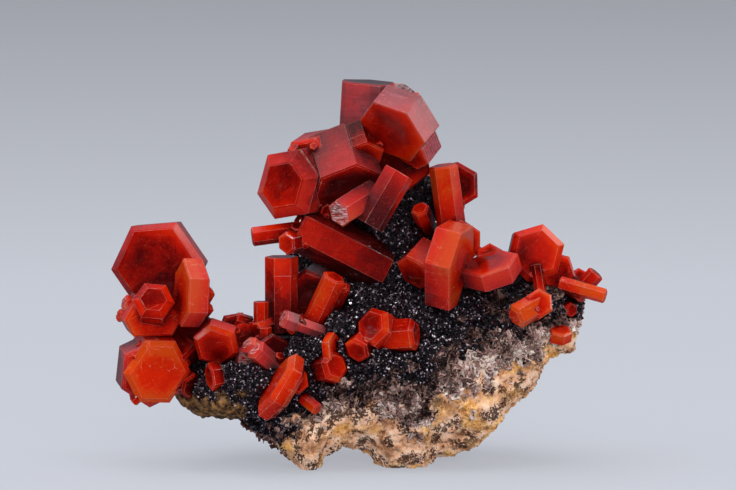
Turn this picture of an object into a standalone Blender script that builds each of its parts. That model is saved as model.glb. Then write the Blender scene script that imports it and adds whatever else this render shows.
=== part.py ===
"""A vanadinite specimen: red hexagonal crystals grown on a dark, drusy matrix.

Metres, +Z up, -Y towards the viewer of the display side.
The origin is the centre of the bounding box's bottom, and the specimen rests on a flat at Z = 0.
"""

import math
import random
from collections import namedtuple

import bmesh
import bpy
from mathutils import Matrix, Vector, noise

MM = 0.001

# Vanadinite's crystal form: a hexagonal prism, the flat basal face and a low pyramid between them.
PRISM_SIDES = 6
PYRAMID_RISE = 0.82  # height of the pyramid face for each unit that it cuts in from the prism face
BEVEL_GROWTH = 0.64  # how much wider the pyramid faces get where every face moves out by one
UNEVEN = 0.02  # share by which a prism face stands nearer or further than an ideal one
EVEN_SIDES = (1, 1, 1, 1, 1, 1)
NEARLY_UPRIGHT = 0.98  # rise of an axis from which its crystal's spin is counted from the viewer's side

CRYSTAL_COLOUR = (0.55, 0.03, 0.01)
CRYSTAL_ROUGHNESS = 0.2
ROCK_COLOUR = (0.10, 0.08, 0.075)
ROCK_ROUGHNESS = 0.75

ROOT_GAP = 0.3 * MM  # room between a crystal and the socket that the matrix grew around it

Crystal = namedtuple(
    "Crystal", "tip axis across length spin bevel sides", defaults=(0, 0.3, EVEN_SIDES)
)
# tip is the centre of the free basal face in mm, axis points out of that face, across is the width
# over corners in mm, length runs back along the axis in mm, spin turns the prism in degrees from
# having a corner uppermost, and bevel is how far the pyramid faces cut in, in mm. sides holds the
# distance of each prism face from the axis as a share of the ideal one.

LEFT_CLUSTER = {
    "large_plate": Crystal(
        (-23.95, -3.0, 24.1), (-0.1, -1, 0.05), 11.4, 4.5, 35, 0.7, (1, 1, 1, 1, 0.97, 1)
    ),
    "upright_plate": Crystal((-20.8, -7.0, 21.2), (-0.95, -0.3, 0.05), 8.2, 2.5, 0, 0.2),
    "ridge_prism": Crystal((-24.0, -8.1, 20.6), (0.08, -0.85, 0.42), 5.0, 5.0, 24, 0.8),
    "wedge_plate": Crystal(
        (-24.1, -6.5, 17.9), (0.3, -1, -0.1), 7.1, 4.0, 30, 0.3, (1, 1, 0.62, 1, 1, 0.9)
    ),
    "low_plate": Crystal(
        (-23.9, -7.0, 11.7), (0.25, -1, -0.15), 8.3, 5.5, 27, 0.6, (0.87, 0.92, 1.03, 1, 1.05, 1.06)
    ),
    "low_plate_backer": Crystal((-24.1, -6.4, 11.5), (0.25, -1, -0.15), 8.5, 4.5, 55, 0.4),
    "inner_prism": Crystal((-21.8, -4.5, 15.3), (0.2, -0.6, 0.7), 6.0, 5.0, 15, 0.4),
    "outer_chip": Crystal((-27.8, -4.5, 19.7), (-0.9, -0.4, 0.2), 2.2, 2.6, 0, 0.2),
    "outer_point": Crystal((-28.4, -4.5, 18.3), (-0.8, -0.5, -0.1), 1.4, 3.0, 0, 0.2),
    "side_point_upper": Crystal((-17.1, -4.0, 20.7), (0.9, -0.4, 0.05), 2.0, 3.4, 0, 0.7),
    "side_point_lower": Crystal((-17.2, -4.0, 18.8), (0.9, -0.4, -0.1), 1.8, 3.4, 0, 0.7),
    "foot_prism": Crystal((-19.6, -5.0, 9.8), (0.6, -0.7, -0.3), 3.4, 4.0, 0, 0.3),
    "root_prism": Crystal((-19.5, -1.5, 12.5), (-0.3, -0.9, 0.2), 6.0, 4.0, 0, 0.3),
    "bridge_plate": Crystal((-20.2, -3.4, 16.8), (-0.2, -1, 0.3), 5.4, 4.0, 0, 0.3),
}

LOWER_LEFT_CLUSTER = {
    "round_plate": Crystal((-16.8, -7.0, 14.8), (-0.1, -1, -0.35), 5.7, 2.6, 10, 0.5),
    "back_plate": Crystal((-14.5, -4.5, 16.5), (0.0, -1, 0.2), 4.6, 3.0, 40, 0.3),
    "side_plate": Crystal((-13.0, -5.2, 15.9), (0.1, -1, 0.2), 4.4, 2.8, 20, 0.3),
    "square_prism": Crystal((-11.5, -4.8, 20.0), (0, 0, 1), 1.8, 7.0, 30, 0.1),
    "square_prism_front": Crystal((-11.1, -6.0, 17.1), (0, -0.05, 1), 1.8, 4.5, 30, 0.1),
    "slant_prism": Crystal((-12.2, -9.0, 14.9), (-0.6, -0.5, 0.6), 2.6, 5.5, 30, 0.4),
    "slant_prism_twin": Crystal((-13.0, -8.2, 15.4), (-0.6, -0.5, 0.6), 2.4, 4.5, 30, 0.4),
    "pink_prism": Crystal((-13.3, -7.0, 13.5), (-0.4, -0.8, 0.3), 4.2, 4.0, 0, 0.9),
    "hidden_plate": Crystal((-9.8, -7.6, 14.4), (0.3, -0.9, 0.3), 4.4, 4.5, 0, 0.3),
    "orange_front_crystal": Crystal((-9.9, -10.5, 11.1), (-0.82, -0.15, 0.55), 8.5, 2.3, 8, 0.7),
    "front_plate": Crystal((-7.0, -9.7, 11.2), (0.5, -0.8, 0.2), 3.3, 3.0, 0, 0.2),
}

MIDDLE_CLUSTER = {
    "tall_prism": Crystal((-9.1, -3.3, 25.2), (0, -0.02, 1), 4.0, 9.0, 35, 0.1),
    "shadowed_prism": Crystal((-5.6, -3.6, 20.1), (-0.2, -0.95, -0.1), 7.3, 5.0, 10, 0.4),
    "leaning_prism": Crystal((-2.7, -7.5, 23.2), (0.38, -0.3, 0.85), 2.9, 6.5, 20, 0.2),
    "leaning_prism_twin": Crystal((-1.9, -5.8, 22.2), (0.38, -0.3, 0.85), 2.6, 5.5, 10, 0.2),
    "level_prism": Crystal((-8.6, -8.5, 18.3), (-0.85, -0.35, 0.35), 1.9, 5.6, 30, 0.2),
    "level_prism_collar": Crystal((-8.8, -8.6, 18.4), (-0.85, -0.35, 0.35), 2.4, 1.8, 30, 0.2),
}

LOW_MIDDLE_CRYSTALS = {
    "edge_plate": Crystal((-2.6, -8.8, 14.8), (0.9, -0.4, 0.1), 4.0, 1.0, 0, 0.1),
    "low_prism": Crystal((-2.5, -9.9, 12.9), (0.55, -0.75, 0.2), 3.9, 3.2, 12, 0.5),
}

SUMMIT_CLUSTER = {
    "left_giant": Crystal(
        (-8.9, -5.5, 34.2), (-0.55, -0.83, -0.05), 8.8, 6.0, 40, 1.4, (0.97, 1.18, 1.08, 1, 1, 0.92)
    ),
    "left_giant_backer": Crystal((-5.9, -3.5, 36.2), (-0.35, -0.9, -0.2), 6.6, 5.0, 40, 0.4),
    "centre_giant": Crystal((-1.1, -5.0, 33.2), (0.2, -0.62, -0.6), 8.8, 7.0, 0, 0.2),
    "inner_giant": Crystal((0.6, -4.0, 36.9), (0.2, -0.62, -0.6), 5.4, 4.0, 0, 0.2),
    "hollow_plate": Crystal((4.6, -2.6, 36.4), (0.1, -1, -0.2), 8.6, 4.0, 10, 0.3),
    "under_plate": Crystal((-4.4, -3.4, 30.4), (-0.2, -1, -0.2), 5.0, 4.0, 0, 0.3),
    "top_prism": Crystal(
        (1.5, 0.6, 45.8), (0.06, -0.05, 1), 7.8, 7.5, 0, 0.2, (1.16, 0.86, 1, 1, 1, 0.84)
    ),
    "top_step": Crystal((5.3, -2.4, 45.1), (0.3, -0.5, 0.8), 3.6, 5.0, 25, 0.5),
    "right_giant": Crystal((4.0, -6.1, 40.1), (-0.5, -0.62, -0.57), 9.0, 3.6, 10, 0.15),
    "right_giant_backer": Crystal((4.6, -4.2, 40.2), (-0.3, -0.8, -0.4), 5.6, 4.0, 20, 0.3),
    "right_flank_prism": Crystal((6.3, -5.3, 37.4), (-0.5, -0.6, -0.6), 4.6, 3.4, 54, 0.15),
    "central_prism": Crystal((4.9, -7.4, 35.5), (0.5, 0.08, 0.85), 3.8, 7.2, 3, 0.1),
    "bright_end_prism": Crystal((-2.2, -10.0, 30.8), (-0.55, -0.65, -0.3), 3.4, 6.5, 0, 0.2),
    "long_prism": Crystal((-7.2, -3.0, 28.9), (-0.86, -0.12, 0.45), 6.0, 12.0, 0, 0.2),
    "outer_prism": Crystal((-12.6, -4.0, 27.6), (-0.97, -0.1, -0.12), 2.3, 6.5, 0, 0.2),
    "textured_prism": Crystal((-8.5, -6.0, 27.0), (-0.6, -0.75, -0.1), 2.8, 4.5, 0, 0.2),
}

SHOULDER_CLUSTER = {
    "upright_prism": Crystal((10.1, -3.9, 36.1), (-0.14, -0.1, 1), 3.5, 8.5, 22, 0.2),
    "round_back_plate": Crystal((12.0, -3.0, 33.7), (0.2, -0.9, 0.1), 5.6, 4.0, 0, 0.5),
    "bright_plate": Crystal(
        (12.2, -8.0, 24.9), (0.92, -0.3, -0.21), 9.4, 3.2, 36, 0.15, (1, 1, 1.4, 1, 1, 1)
    ),
    "bright_plate_backer": Crystal((12.9, -4.0, 26.9), (0.6, -0.8, 0), 5.0, 3.0, 0, 0.2),
    "left_plate": Crystal((6.6, -5.5, 23.4), (-0.5, -0.6, -0.5), 5.0, 4.0, 0, 0.2),
    "lying_plate": Crystal((15.5, -6.4, 24.8), (-0.28, -0.3, 0.92), 7.0, 2.3, 20, 0.2),
    "rough_plate": Crystal((15.7, -3.9, 25.1), (0, -0.9, 0.3), 3.6, 2.6, 0, 0.2),
}

RIGHT_CLUSTER = {
    "fan_plate": Crystal((21.2, -3.0, 25.6), (0.05, -0.95, 0.15), 7.2, 3.5, 46, 0.7),
    "fan_step": Crystal((23.8, -2.5, 23.4), (0.2, -0.9, 0.2), 4.8, 3.0, 15, 0.3),
    "fan_edge": Crystal((26.6, -2.0, 21.9), (0.3, -0.9, 0.3), 3.8, 3.0, 0, 0.2),
    "hanging_prism": Crystal((21.7, -4.2, 21.0), (0.15, -0.2, -1), 1.4, 3.4, 0, 0.1),
    "tip_prism": Crystal((29.4, -5.0, 20.6), (0.95, -0.2, -0.25), 1.8, 5.8, 0, 0.2),
    "tip_prism_upper": Crystal((28.4, -3.6, 23.3), (0.6, -0.1, 0.7), 2.1, 4.0, 0, 0.2),
}

FLANK_CRYSTALS = {
    "flank_block": Crystal((21.4, -8.5, 20.2), (0.2, -1, 0.3), 3.6, 4.0, 0, 0.3),
    "flank_prism": Crystal((18.4, -8.9, 18.5), (-0.8, -0.5, -0.4), 3.0, 4.8, 10, 0.4),
}

CENTRE_CRYSTALS = {
    "centre_prism": Crystal((6.9, -9.1, 16.6), (0.94, -0.32, 0.1), 4.0, 6.6, 12, 0.5),
    "centre_prism_upper": Crystal((1.5, -9.3, 17.6), (-0.5, -0.72, 0.4), 5.0, 4.6, 20, 0.6),
    "centre_prism_lower": Crystal((-0.2, -9.6, 14.6), (-0.4, -0.8, -0.4), 3.3, 4.0, 0, 0.3),
}

BACK_LEFT_CLUSTER = {
    "back_plate_left": Crystal((-6.5, 13.2, 14.5), (-0.3, 1, 0.3), 7.0, 5.0, 0, 0.5),
    "back_prism_left": Crystal((-10.0, 11.4, 15.6), (-0.6, 0.8, 0.4), 4.0, 6.0, 0, 0.3),
    "back_prism_upper": Crystal((-4.2, 11.8, 18.6), (-0.1, 0.7, 0.7), 3.4, 6.0, 0, 0.3),
}

BACK_RIGHT_CLUSTER = {
    "back_plate_right": Crystal((10.5, 13.4, 13.5), (0.25, 1, 0.15), 6.4, 4.5, 0, 0.5),
    "back_prism_right": Crystal((14.4, 12.0, 15.6), (0.6, 0.7, 0.4), 3.6, 5.5, 0, 0.3),
    "back_prism_inner": Crystal((7.6, 13.2, 16.8), (-0.2, 0.8, 0.6), 2.8, 6.0, 0, 0.3),
}

SINGLE_CRYSTALS = {
    "dark_spire_crystal": Crystal((7.3, -4.0, 31.0), (-0.3, -0.6, 0.7), 2.3, 4.0, 0, 0.2),
    "spire_back_crystal": Crystal((4.6, 10.4, 29.0), (0.1, 1, 0.2), 6.0, 4.0, 0, 0.6),
    "spire_back_upper_crystal": Crystal((1.4, 8.0, 36.4), (-0.3, 0.8, 0.5), 4.8, 4.5, 10, 0.4),
    "spire_back_side_crystal": Crystal((9.4, 8.2, 33.2), (0.6, 0.75, 0.2), 4.4, 5.0, 20, 0.3),
    "spire_back_low_crystal": Crystal((-2.8, 8.8, 26.2), (-0.5, 0.8, 0.2), 4.6, 4.5, 5, 0.4),
    "small_left_crystal": Crystal((-17.5, -8.5, 11.4), (-0.92, -0.37, -0.12), 3.5, 1.5, 5, 0.2),
    "embedded_crystal": Crystal((-4.7, -9.6, 7.7), (0.62, -0.5, -0.45), 1.7, 2.6, 0, 0.2),
    "right_edge_crystal": Crystal((25.5, -3.4, 18.8), (0.5, -0.8, 0), 1.9, 2.5, 0, 0.2),
    "right_foot_crystal": Crystal((24.0, -5.2, 16.7), (0.12, -0.42, 0.9), 3.0, 1.5, 0, 0.2),
}

CLUSTERS = {
    "left_crystal_cluster": LEFT_CLUSTER,
    "lower_left_crystal_cluster": LOWER_LEFT_CLUSTER,
    "middle_crystal_cluster": MIDDLE_CLUSTER,
    "low_middle_crystals": LOW_MIDDLE_CRYSTALS,
    "summit_crystal_cluster": SUMMIT_CLUSTER,
    "shoulder_crystal_cluster": SHOULDER_CLUSTER,
    "right_crystal_cluster": RIGHT_CLUSTER,
    "right_flank_crystals": FLANK_CRYSTALS,
    "centre_crystals": CENTRE_CRYSTALS,
    "back_left_crystal_cluster": BACK_LEFT_CLUSTER,
    "back_right_crystal_cluster": BACK_RIGHT_CLUSTER,
    **{name: {name: crystal} for name, crystal in SINGLE_CRYSTALS.items()},
}

# The matrix along X, in mm: x, lowest z, highest z, how far it reaches to the front and to the back.
# Where the lowest z is below zero, the rock is cut off at zero, so that it rests on a flat.
MATRIX_STATIONS = [
    (-22.0, 7.9, 9.4, 1.5, 1.5),
    (-20.6, 6.7, 11.8, 4.0, 3.5),
    (-19.0, 5.8, 13.4, 5.8, 5.0),
    (-16.8, 5.5, 14.0, 7.2, 6.5),
    (-14.4, 5.5, 14.6, 8.0, 8.0),
    (-11.6, 3.4, 15.8, 8.6, 9.3),
    (-9.6, 2.3, 16.5, 8.8, 10.2),
    (-7.9, 0.8, 17.3, 8.9, 10.8),
    (-6.6, -1.0, 18.2, 9.0, 11.2),
    (-5.3, -0.9, 19.0, 9.0, 11.5),
    (-3.8, 1.3, 21.3, 9.0, 11.8),
    (-2.0, 2.1, 22.7, 9.0, 12.0),
    (1.3, 1.5, 24.0, 9.0, 12.0),
    (2.6, 0.2, 24.3, 9.1, 12.0),
    (4.2, -1.1, 24.2, 9.2, 12.0),
    (8.0, -1.1, 23.6, 9.2, 11.7),
    (9.5, 0.7, 22.8, 9.0, 11.5),
    (11.2, 0.9, 22.6, 8.8, 11.2),
    (14.0, 2.5, 22.0, 8.2, 10.4),
    (15.6, 3.6, 22.0, 7.8, 9.9),
    (17.6, 6.4, 22.5, 7.3, 9.0),
    (18.9, 7.8, 22.8, 7.0, 8.5),
    (20.6, 9.1, 23.2, 6.6, 7.8),
    (22.4, 12.2, 22.2, 5.8, 6.8),
    (23.8, 12.8, 21.6, 5.0, 6.0),
    (25.2, 13.4, 21.0, 4.0, 4.8),
    (26.4, 17.4, 20.4, 2.4, 3.0),
    (26.9, 18.6, 19.8, 1.2, 1.4),
]
MATRIX_RING_POINTS = 28
MATRIX_FULLNESS = 2.6  # power of the rings' superellipse: 2 is an ellipse, more is squarer
MATRIX_BACKWARD_LEAN = 0.25  # how far the upper half sets back for each unit of height
MATRIX_LUMP_DEPTH = 2.4  # in mm, for the front and the back
MATRIX_LUMP_HEIGHT = 0.7  # in mm, for the outline
LUMP_SIZE = 6.0  # in mm
MATRIX_END_TAPER = 4.0  # in mm, the length over which the lumps fade out at the ends

# The spire that carries the summit crystals, in mm: x, y and z of the middle, and how far it
# reaches to each side and to the front and back.
SPIRE_STATIONS = [
    (5.5, 2.5, 15.0, 9.5, 8.0),
    (5.2, 2.8, 20.0, 8.6, 7.0),
    (4.8, 3.0, 24.0, 7.6, 6.2),
    (4.2, 3.2, 28.0, 7.0, 5.4),
    (3.8, 3.0, 32.0, 6.4, 4.8),
    (3.2, 2.6, 36.0, 4.6, 3.8),
    (2.8, 2.2, 39.0, 3.0, 2.4),
    (2.6, 2.0, 40.2, 1.4, 1.2),
]
# A lower knob of rock behind the middle crystals, in the same way.
KNOB_STATIONS = [
    (-3.4, 5.0, 12.0, 8.6, 5.2),
    (-3.8, 5.0, 18.0, 7.2, 4.8),
    (-4.6, 4.6, 22.0, 5.2, 3.8),
    (-5.6, 4.2, 24.6, 3.0, 2.4),
    (-6.0, 4.0, 25.8, 1.4, 1.2),
]
SPIRE_RING_POINTS = 24
SPIRE_LUMP_HEIGHT = 1.2  # in mm


def remove_everything():
    for thing in list(bpy.data.objects):
        bpy.data.objects.remove(thing)


def material(name, colour, roughness):
    made = bpy.data.materials.new(name)
    made.use_nodes = True
    shader = made.node_tree.nodes["Principled BSDF"]
    shader.inputs["Base Color"].default_value = (*colour, 1)
    shader.inputs["Roughness"].default_value = roughness
    return made


def add_object(name, mesh, finish=None, helper=False):
    made = bpy.data.objects.new(name, mesh)
    bpy.context.scene.collection.objects.link(made)
    if finish:
        mesh.materials.append(finish)
    if helper:
        made.hide_render = True
        made.display_type = "WIRE"
    return made


def hexagon(crystal, reaches):
    """The corners of a prism whose faces stand at these distances from the axis."""
    turn = 2 * math.pi / PRISM_SIDES
    corners = []
    for side in range(PRISM_SIDES):
        angle = math.radians(crystal.spin) + turn * (side + 0.5)
        here, after = reaches[side], reaches[(side + 1) % PRISM_SIDES]
        along = (after - here * math.cos(turn)) / math.sin(turn)
        x = -here * math.sin(angle) - along * math.cos(angle)
        y = here * math.cos(angle) - along * math.sin(angle)
        corners.append((x, y))
    return corners


def crystal_rings(crystal, seed, grow):
    """The crystal's corners, ring by ring from the hidden end to the free end at +Z."""
    chance = random.Random(seed)
    half = crystal.length * MM / 2 + grow
    apothem = crystal.across * MM / 2 * math.cos(math.pi / PRISM_SIDES)
    bevel = crystal.bevel * MM + BEVEL_GROWTH * grow
    outer = []
    for share in crystal.sides:
        outer.append(apothem * share * (1 + chance.uniform(-UNEVEN, UNEVEN)) + grow)
    prism = hexagon(crystal, outer)
    basal = hexagon(crystal, [reach - bevel for reach in outer])
    shoulder = half - PYRAMID_RISE * bevel
    rings = []
    for corners, height in ((basal, -half), (prism, -shoulder), (prism, shoulder), (basal, half)):
        rings.append([Vector((x, y, height)) for x, y in corners])
    return rings


def crystal_frame(crystal):
    """The matrix that stands a crystal in place: its middle, its axis, and a corner uppermost."""
    axis = Vector(crystal.axis).normalized()
    upright = Vector((0, -1, 0)) if abs(axis.z) > NEARLY_UPRIGHT else Vector((0, 0, 1))
    up = (upright - axis * upright.dot(axis)).normalized()
    side = up.cross(axis)
    turn = Matrix((side, up, axis)).transposed().to_4x4()
    middle = Vector(crystal.tip) * MM - axis * (crystal.length * MM / 2)
    return Matrix.Translation(middle) @ turn


def lofted(name, rings, place=None):
    """A closed mesh through rings of equally many points, with a flat cap at each end."""
    form = bmesh.new()
    loops = [[form.verts.new(point) for point in ring] for ring in rings]
    count = len(loops[0])
    for near, far in zip(loops, loops[1:]):
        for i in range(count):
            j = (i + 1) % count
            form.faces.new((near[i], near[j], far[j], far[i]))
    form.faces.new(loops[0])
    form.faces.new(loops[-1])
    bmesh.ops.recalc_face_normals(form, faces=form.faces)
    if place:
        form.transform(place)
    mesh = bpy.data.meshes.new(name)
    form.to_mesh(mesh)
    form.free()
    return mesh


def crystal_mesh(name, crystal, seed, grow=0.0):
    return lofted(name, crystal_rings(crystal, seed, grow), crystal_frame(crystal))


def combine(target, other, operation):
    change = target.modifiers.new(other.name, "BOOLEAN")
    change.operation = operation
    change.solver = "EXACT"
    change.object = other


def build_cluster(name, crystals, first_seed, finish=None, grow=0.0):
    """The crystals that have grown together, as one solid, or as a helper if it has no finish."""
    for offset, (label, crystal) in enumerate(crystals.items()):
        mesh = crystal_mesh(label, crystal, first_seed + offset, grow)
        if offset == 0:
            cluster = add_object(name, mesh, finish, helper=finish is None)
        else:
            combine(cluster, add_object(name + "_" + label, mesh, helper=True), "UNION")
    return cluster


def lump(point, height):
    """How far the rock swells out at a place, in mm."""
    return height * noise.noise(Vector(point) / LUMP_SIZE)


def matrix_ring(station):
    x, low, high, front, back = station
    middle = (low + high) / 2
    half = (high - low) / 2
    ends = (MATRIX_STATIONS[0][0], MATRIX_STATIONS[-1][0])
    fade = min(1, min(abs(x - end) for end in ends) / MATRIX_END_TAPER)
    ring = []
    for i in range(MATRIX_RING_POINTS):
        angle = 2 * math.pi * i / MATRIX_RING_POINTS
        across, up = math.cos(angle), math.sin(angle)
        stretch = (abs(across) ** MATRIX_FULLNESS + abs(up) ** MATRIX_FULLNESS) ** (-1 / MATRIX_FULLNESS)
        depth = across * stretch * (back if across > 0 else front)
        height = up * stretch * half
        lean = MATRIX_BACKWARD_LEAN * max(height, 0)
        place = (x, depth, middle + height)
        y = depth + across * fade * lump(place, MATRIX_LUMP_DEPTH) + lean
        z = max(middle + height + up * fade * lump(place, MATRIX_LUMP_HEIGHT), 0)
        ring.append(Vector((x, y, z)) * MM)
    return ring


def spire_ring(station):
    x, y, z, wide, deep = station
    ring = []
    for i in range(SPIRE_RING_POINTS):
        angle = 2 * math.pi * i / SPIRE_RING_POINTS
        out = Vector((wide * math.cos(angle), deep * math.sin(angle), 0))
        swell = lump(Vector((x, y, z)) + out, SPIRE_LUMP_HEIGHT) / deep
        ring.append((Vector((x, y, z)) + out * (1 + swell)) * MM)
    return ring


def build_matrix(finish):
    body = add_object("matrix", lofted("matrix", map(matrix_ring, MATRIX_STATIONS)), finish)
    for name, stations in (("spire", SPIRE_STATIONS), ("knob", KNOB_STATIONS)):
        rise = add_object(name, lofted(name, map(spire_ring, stations)), helper=True)
        combine(body, rise, "UNION")
    return body


def main():
    remove_everything()
    body = build_matrix(material("matrix", ROCK_COLOUR, ROCK_ROUGHNESS))
    seed = 1
    for name, crystals in CLUSTERS.items():
        red = material(name, CRYSTAL_COLOUR, CRYSTAL_ROUGHNESS)
        build_cluster(name, crystals, seed, finish=red)
        socket = build_cluster(name + "_socket", crystals, seed, grow=ROOT_GAP)
        combine(body, socket, "DIFFERENCE")
        seed += len(crystals)


main()
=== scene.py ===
"""The looks of the vanadinite specimen: crystals with growth steps on a druse-covered matrix.

Metres, +Z up, -Y towards the viewer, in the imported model's own frame.
"""

import math
import random
from collections import namedtuple

import bmesh
import bpy
import numpy as np
from mathutils import Matrix, Vector, noise


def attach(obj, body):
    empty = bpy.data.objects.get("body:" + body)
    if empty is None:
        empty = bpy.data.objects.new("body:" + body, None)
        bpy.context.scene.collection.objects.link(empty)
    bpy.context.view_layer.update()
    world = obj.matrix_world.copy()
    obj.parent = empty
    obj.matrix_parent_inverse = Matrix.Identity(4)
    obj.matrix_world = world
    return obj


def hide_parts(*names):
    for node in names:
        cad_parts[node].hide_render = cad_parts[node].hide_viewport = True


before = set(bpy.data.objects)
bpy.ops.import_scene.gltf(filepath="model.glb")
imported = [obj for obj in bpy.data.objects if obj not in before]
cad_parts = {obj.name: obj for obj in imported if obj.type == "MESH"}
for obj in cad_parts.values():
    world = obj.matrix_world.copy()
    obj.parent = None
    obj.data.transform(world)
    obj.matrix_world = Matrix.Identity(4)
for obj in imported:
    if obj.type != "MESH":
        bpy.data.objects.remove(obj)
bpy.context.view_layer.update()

MM = 0.001
MIDDLE = (0.5,) * 3  # of the numbers that a noise or a random colour gives

# The photograph's view.
CAMERA_AIM = (0.0012, 0, 0.02628)
CAMERA_RISE = 5  # degrees above the horizon
CAMERA_DISTANCE = 0.368
LENS = 150  # in mm, on a sensor 36 mm wide
SENSOR = 36

# The crystals' form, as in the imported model: a hexagonal prism with a flat end and a low pyramid
# between the two.
PRISM_SIDES = 6
PYRAMID_RISE = 0.82  # along the axis, for each mm that the pyramid cuts in
UNEVEN = 0.02  # how far a prism face strays, as a share of its distance from the axis
EVEN_SIDES = (1,) * PRISM_SIDES
NEARLY_UPRIGHT = 0.98  # a steeper axis has its spin counted from the front, not from the top

Crystal = namedtuple(
    "Crystal", "tip axis across length spin bevel glow dull frost sides",
    defaults=(0, 0.3, 0.55, 0, 0, EVEN_SIDES)
)
# Each row of the tables is a Crystal. tip is the centre of the free basal face in mm, axis points
# out of that face, across is the width over corners in mm, length runs back along the axis in mm,
# spin turns the prism in degrees from having a corner uppermost, and bevel is how far the pyramid
# faces cut in, in mm. glow is a painted glow, as of light coming through, from 0 for a dark red to
# 1 for orange. The next number says how dull the etched prism faces are and how much pale painted
# sheen they carry, and the one after says how far the free end is etched white, partly as a painted
# reflection. sides comes from the table SIDES.

LEFT_CLUSTER = {
    "large_plate": ((-23.95, -3, 24.1), (-0.1, -1, 0.05), 11.4, 4.5, 35, 0.7, 0.4, 0.35),
    "upright_plate": ((-20.8, -7, 21.2), (-0.95, -0.3, 0.05), 8.2, 2.5, 0, 0.2, 0.88, 0.2),
    "ridge_prism": ((-24, -8.1, 20.6), (0.08, -0.85, 0.42), 5, 5, 24, 0.8, 0.5),
    "wedge_plate": ((-24.1, -6.5, 17.9), (0.3, -1, -0.1), 7.1, 4, 30, 0.3, 0.7),
    "low_plate": ((-23.9, -7, 11.7), (0.25, -1, -0.15), 8.3, 5.5, 27, 0.6, 0.88),
    "low_plate_backer": ((-24.1, -6.4, 11.5), (0.25, -1, -0.15), 8.5, 4.5, 55, 0.4, 0.5, 0.5),
    "inner_prism": ((-21.8, -4.5, 15.3), (0.2, -0.6, 0.7), 6, 5, 15, 0.4, 0.4),
    "outer_chip": ((-27.8, -4.5, 19.7), (-0.9, -0.4, 0.2), 2.2, 2.6, 0, 0.2, 0.8, 0, 0.4),
    "outer_point": ((-28.4, -4.5, 18.3), (-0.8, -0.5, -0.1), 1.4, 3, 0, 0.2, 0.8),
    "side_point_upper": ((-17.1, -4, 20.7), (0.9, -0.4, 0.05), 2, 3.4, 0, 0.7),
    "side_point_lower": ((-17.2, -4, 18.8), (0.9, -0.4, -0.1), 1.8, 3.4, 0, 0.7),
    "foot_prism": ((-19.6, -5, 9.8), (0.6, -0.7, -0.3), 3.4, 4),
    "root_prism": ((-19.5, -1.5, 12.5), (-0.3, -0.9, 0.2), 6, 4, 0, 0.3, 0.3),
    "bridge_plate": ((-20.2, -3.4, 16.8), (-0.2, -1, 0.3), 5.4, 4, 0, 0.3, 0.3),
}

LOWER_LEFT_CLUSTER = {
    "round_plate": ((-16.8, -7, 14.8), (-0.1, -1, -0.35), 5.7, 2.6, 10, 0.5),
    "back_plate": ((-14.5, -4.5, 16.5), (0, -1, 0.2), 4.6, 3, 40),
    "side_plate": ((-13, -5.2, 15.9), (0.1, -1, 0.2), 4.4, 2.8, 20),
    "square_prism": ((-11.5, -4.8, 20), (0, 0, 1), 1.8, 7, 30, 0.1),
    "square_prism_front": ((-11.1, -6, 17.1), (0, -0.05, 1), 1.8, 4.5, 30, 0.1),
    "slant_prism": ((-12.2, -9, 14.9), (-0.6, -0.5, 0.6), 2.6, 5.5, 30, 0.4, 0.55, 0.5, 0.7),
    "slant_prism_twin": ((-13, -8.2, 15.4), (-0.6, -0.5, 0.6), 2.4, 4.5, 30, 0.4, 0.55, 0.5, 0.6),
    "pink_prism": ((-13.3, -7, 13.5), (-0.4, -0.8, 0.3), 4.2, 4, 0, 0.9, 0.55, 0.6, 0.4),
    "hidden_plate": ((-9.8, -7.6, 14.4), (0.3, -0.9, 0.3), 4.4, 4.5, 0, 0.3, 0.3),
    "orange_front_crystal": ((-9.9, -10.5, 11.1), (-0.82, -0.15, 0.55), 8.5, 2.3, 8, 0.7, 0.95),
    "front_plate": ((-7, -9.7, 11.2), (0.5, -0.8, 0.2), 3.3, 3, 0, 0.2, 0.7),
}

MIDDLE_CLUSTER = {
    "tall_prism": ((-9.1, -3.3, 25.2), (0, -0.02, 1), 4, 9, 35, 0.1, 0.6, 0.05),
    "shadowed_prism": ((-5.6, -3.6, 20.1), (-0.2, -0.95, -0.1), 7.3, 5, 10, 0.4, 0.2),
    "leaning_prism": ((-2.7, -7.5, 23.2), (0.38, -0.3, 0.85), 2.9, 6.5, 20, 0.2, 0.8),
    "leaning_prism_twin": ((-1.9, -5.8, 22.2), (0.38, -0.3, 0.85), 2.6, 5.5, 10, 0.2),
    "level_prism": ((-8.6, -8.5, 18.3), (-0.85, -0.35, 0.35), 1.9, 5.6, 30, 0.2, 0.55, 0.5),
    "level_prism_collar": (
        (-8.8, -8.6, 18.4), (-0.85, -0.35, 0.35), 2.4, 1.8, 30, 0.2, 0.55, 0.8, 0.5
    ),
}

LOW_MIDDLE_CRYSTALS = {
    "edge_plate": ((-2.6, -8.8, 14.8), (0.9, -0.4, 0.1), 4, 1, 0, 0.1, 0.8),
    "low_prism": ((-2.5, -9.9, 12.9), (0.55, -0.75, 0.2), 3.9, 3.2, 12, 0.5, 0.6),
}

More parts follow.
